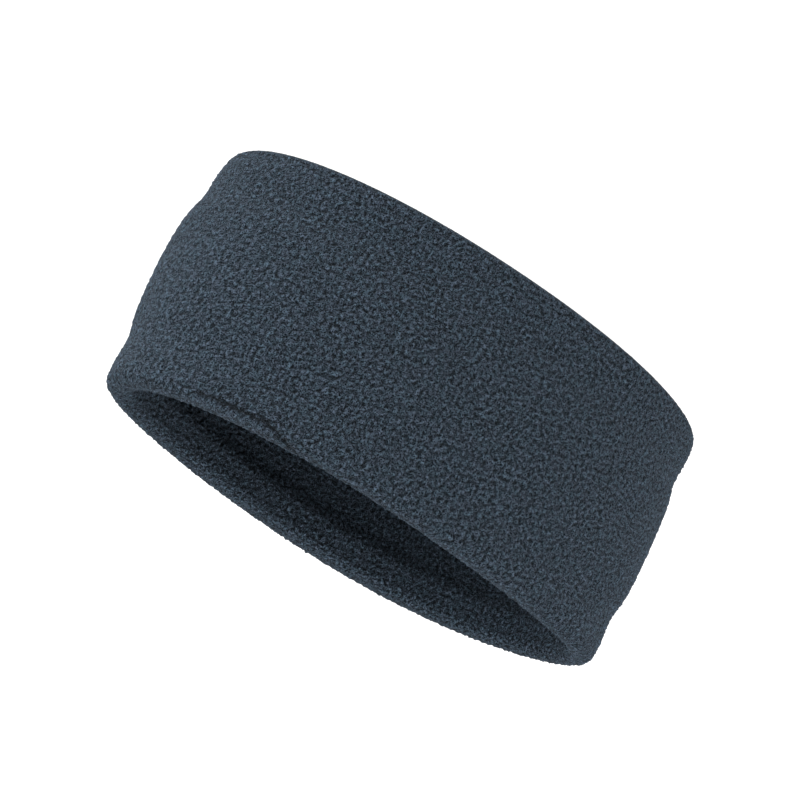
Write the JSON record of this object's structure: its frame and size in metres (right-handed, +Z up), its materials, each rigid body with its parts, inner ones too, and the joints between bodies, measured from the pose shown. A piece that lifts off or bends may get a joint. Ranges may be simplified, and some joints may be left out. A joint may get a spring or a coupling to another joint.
{
  "type": "fleece headband",
  "caption": "Wide double-layer fleece headband, a soft oval ring open through the middle, standing on its lower rim.",
  "frame": {"origin": "on the floor, under the centre of the band", "axes": "+Z up along the axis that the head goes through, X along the band's long side, Y across it; the wall that the picture shows faces -Y"},
  "size_m": [0.2174, 0.1046, 0.1031],
  "materials": {
    "outer_fleece": "matt napped fleece, dark slate blue",
    "lining_fleece": "matt napped fleece, dark slate blue"
  },
  "bodies": {
    "root": {"outer_band": "outer_fleece", "lining": "lining_fleece"}
  },
  "joints": []
}
